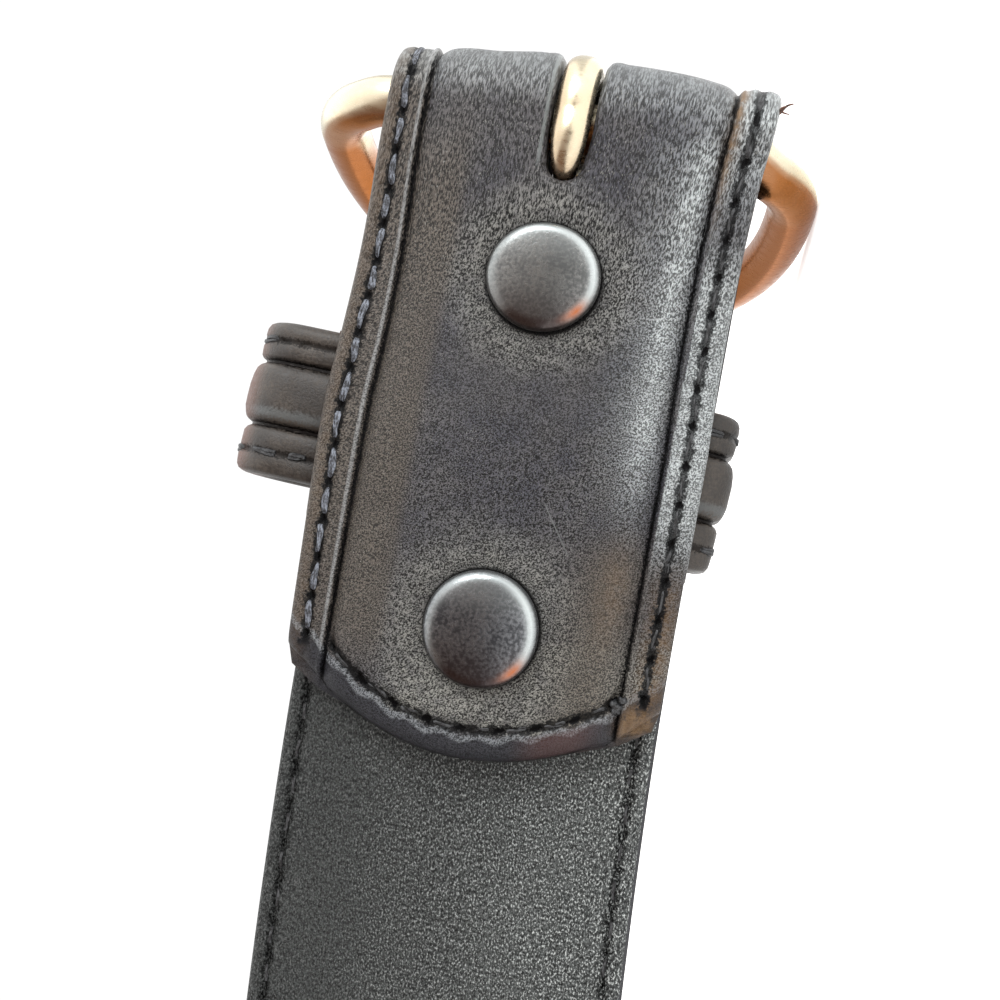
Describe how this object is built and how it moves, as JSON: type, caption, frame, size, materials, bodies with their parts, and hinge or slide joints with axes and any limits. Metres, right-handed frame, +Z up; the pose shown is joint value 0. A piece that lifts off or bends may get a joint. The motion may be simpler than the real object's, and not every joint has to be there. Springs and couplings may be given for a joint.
{
  "type": "western belt",
  "caption": "Lined leather belt as an open loop on its edge, with a rod buckle in a snap-fastened fold, a keeper loop and a punched, rounded tip.",
  "frame": {"origin": "on the floor under the middle of the whole belt's box", "axes": "+Z up across the belt, +X towards the crest of the buckle end, +Y out of the front face at the buckle end"},
  "size_m": [0.4056, 0.4486, 0.0546],
  "materials": {
    "grain_leather": "black, fine grain, low sheen",
    "lining_leather": "matte, pebbled",
    "nickel": "polished nickel, lightly worn",
    "black_cap": "satin black",
    "snap_metal": "plain plated metal"
  },
  "bodies": {
    "belt": {"outer_leather": "grain_leather", "lining": "lining_leather", "keeper_loop": "grain_leather", "snap_cap_upper": "black_cap", "snap_cap_lower": "black_cap", "snap_stud_upper": "snap_metal", "snap_stud_lower": "snap_metal"},
    "frame": {"buckle_frame": "nickel"},
    "prong": {"buckle_tongue": "nickel"}
  },
  "joints": [
    {"name": "frame_swing", "type": "hinge", "parent": "belt", "child": "frame", "pos_m": [0.16412, 0.17827, 0.0257], "axis": [0, 0, -1], "range_deg": [0, 215]},
    {"name": "prong_lift", "type": "hinge", "parent": "frame", "child": "prong", "pos_m": [0.16412, 0.17827, 0.0257], "axis": [0, 0, 1], "range_deg": [0, 26]}
  ]
}
